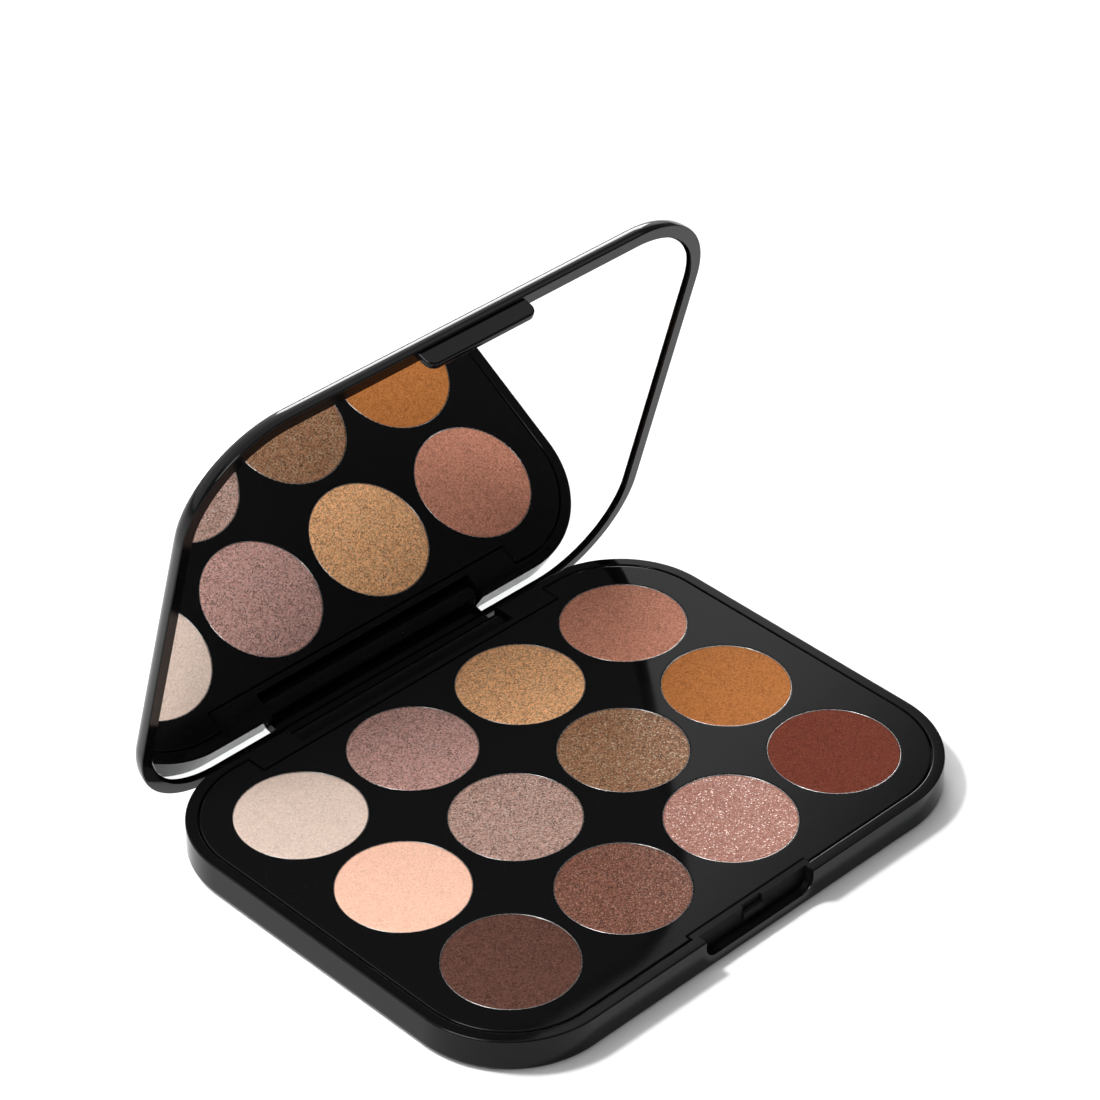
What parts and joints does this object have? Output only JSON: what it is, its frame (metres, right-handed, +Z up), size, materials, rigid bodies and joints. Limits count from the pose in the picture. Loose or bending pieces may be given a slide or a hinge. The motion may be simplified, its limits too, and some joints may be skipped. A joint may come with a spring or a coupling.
{
  "type": "eyeshadow palette",
  "caption": "Slim rounded-rectangle eyeshadow palette in glossy black plastic, with round pressed-powder pans in a flat deck and a full mirror in its hinged lid, held open.",
  "frame": {"origin": "centre of the tray's outline on its flat underside", "axes": "+X along the hinge, +Y from the latch at the front to the hinge at the back, +Z up out of the deck"},
  "size_m": [0.1292, 0.1053, 0.0994],
  "materials": {
    "black_gloss_plastic": "polished black",
    "deck_gloss_plastic": "polished black",
    "pan_metal": "bright drawn tin",
    "pin_steel": "drawn wire",
    "mirror": "silvered glass",
    "adhesive_pad": "foam tape",
    "label_paper": "blank film label",
    "powder_beige": "pressed powder, matte",
    "powder_mauve": "pressed powder, shimmer",
    "powder_gold": "pressed powder, shimmer",
    "powder_dusty_pink": "pressed powder, matte",
    "powder_peach": "pressed powder, satin",
    "powder_taupe": "pressed powder, glitter",
    "powder_bronze": "pressed powder, glitter",
    "powder_mustard": "pressed powder, matte",
    "powder_dark_brown": "pressed powder, matte",
    "powder_red_brown": "pressed powder, shimmer",
    "powder_rose": "pressed powder, glitter",
    "powder_brick": "pressed powder, matte"
  },
  "bodies": {
    "base": {"base_shell": "black_gloss_plastic", "deck_panel": "deck_gloss_plastic", "hinge_pin_left": "pin_steel", "hinge_pin_right": "pin_steel", "underside_label": "label_paper", "pan_01": "pan_metal", "pan_02": "pan_metal", "pan_03": "pan_metal", "pan_04": "pan_metal", "pan_05": "pan_metal", "pan_06": "pan_metal", "pan_07": "pan_metal", "pan_08": "pan_metal", "pan_09": "pan_metal", "pan_10": "pan_metal", "pan_11": "pan_metal", "pan_12": "pan_metal", "powder_01_beige": "powder_beige", "powder_02_mauve": "powder_mauve", "powder_03_gold": "powder_gold", "powder_04_dusty_pink": "powder_dusty_pink", "powder_05_peach": "powder_peach", "powder_06_taupe": "powder_taupe", "powder_07_bronze": "powder_bronze", "powder_08_mustard": "powder_mustard", "powder_09_dark_brown": "powder_dark_brown", "powder_10_red_brown": "powder_red_brown", "powder_11_rose": "powder_rose", "powder_12_brick": "powder_brick"},
    "lid": {"lid_shell": "black_gloss_plastic", "mirror_glass": "mirror", "mirror_adhesive": "adhesive_pad"}
  },
  "joints": [
    {"name": "lid_hinge", "type": "hinge", "parent": "base", "child": "lid", "pos_m": [0, 0.0477, 0.0034], "axis": [-1, 0, 0], "range_deg": [-74, 20]}
  ]
}
